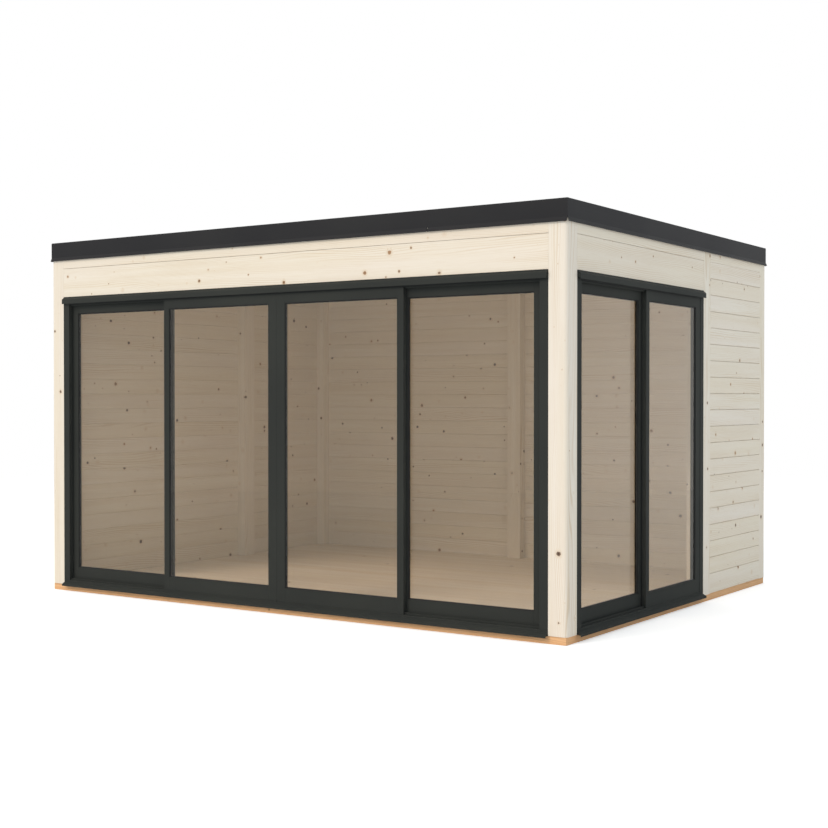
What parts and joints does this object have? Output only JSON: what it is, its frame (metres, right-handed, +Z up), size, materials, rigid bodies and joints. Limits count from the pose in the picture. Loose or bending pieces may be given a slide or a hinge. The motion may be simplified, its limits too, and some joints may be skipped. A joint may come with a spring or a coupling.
{
  "type": "garden house",
  "caption": "Flat-roofed timber garden house with glazed sliding doors across the whole front and along part of one side, on a low timber base.",
  "frame": {"origin": "on the ground, in the middle of the four outer wall faces", "axes": "+X to the right along the front, seen from the front; +Y from the front to the back; +Z up"},
  "size_m": [4.213, 3.218, 2.5],
  "materials": {
    "spruce_wood": "planed untreated spruce, pale, with small knots",
    "impregnated_wood": "sawn, pressure impregnated, orange brown",
    "floor_wood": "planed tongued boards, untreated",
    "dark_aluminium": "fine matt powder coat, anthracite",
    "fascia_sheet": "coated folded sheet, dark grey, satin",
    "tinted_glass": "clear float glass, faintly bronze",
    "roof_membrane": "matt black rubber sheet"
  },
  "bodies": {
    "building": {"back_wall_left": "spruce_wood", "back_wall_post": "spruce_wood", "back_wall_right": "spruce_wood", "base_beam_back": "impregnated_wood", "base_beam_front": "impregnated_wood", "base_beam_left": "impregnated_wood", "base_beam_right": "impregnated_wood", "corner_post_back_left": "spruce_wood", "corner_post_back_right": "spruce_wood", "corner_post_front_left": "spruce_wood", "corner_post_front_right": "spruce_wood", "fascia_back": "fascia_sheet", "fascia_front": "fascia_sheet", "fascia_left": "fascia_sheet", "fascia_right": "fascia_sheet", "floor_boards": "floor_wood", "floor_joists": "impregnated_wood", "front_door_head": "dark_aluminium", "front_door_jambs": "dark_aluminium", "front_door_sill": "dark_aluminium", "front_fixed_panes": "tinted_glass", "front_fixed_sashes": "dark_aluminium", "front_header": "spruce_wood", "left_wall_front": "spruce_wood", "left_wall_post": "spruce_wood", "left_wall_rear": "spruce_wood", "rafters": "spruce_wood", "right_wall_rear": "spruce_wood", "roof_covering": "roof_membrane", "roof_deck": "spruce_wood", "roof_edge_boards": "spruce_wood", "side_door_head": "dark_aluminium", "side_door_jambs": "dark_aluminium", "side_door_post": "spruce_wood", "side_door_sill": "dark_aluminium", "side_fixed_pane": "tinted_glass", "side_fixed_sash": "dark_aluminium", "side_header": "spruce_wood", "wall_plates": "spruce_wood"},
    "front_left_slider": {"front_left_sliding_sash": "dark_aluminium", "front_left_sliding_pane": "tinted_glass"},
    "front_right_slider": {"front_right_sliding_sash": "dark_aluminium", "front_right_sliding_pane": "tinted_glass"},
    "side_slider": {"side_sliding_sash": "dark_aluminium", "side_sliding_pane": "tinted_glass"}
  },
  "joints": [
    {"name": "front_left_slide", "type": "slide", "parent": "building", "child": "front_left_slider", "axis": [-1, 0, 0], "range_m": [0, 0.9]},
    {"name": "front_right_slide", "type": "slide", "parent": "building", "child": "front_right_slider", "axis": [1, 0, 0], "range_m": [0, 0.9]},
    {"name": "side_slide", "type": "slide", "parent": "building", "child": "side_slider", "axis": [0, -1, 0], "range_m": [0, 0.85]}
  ]
}
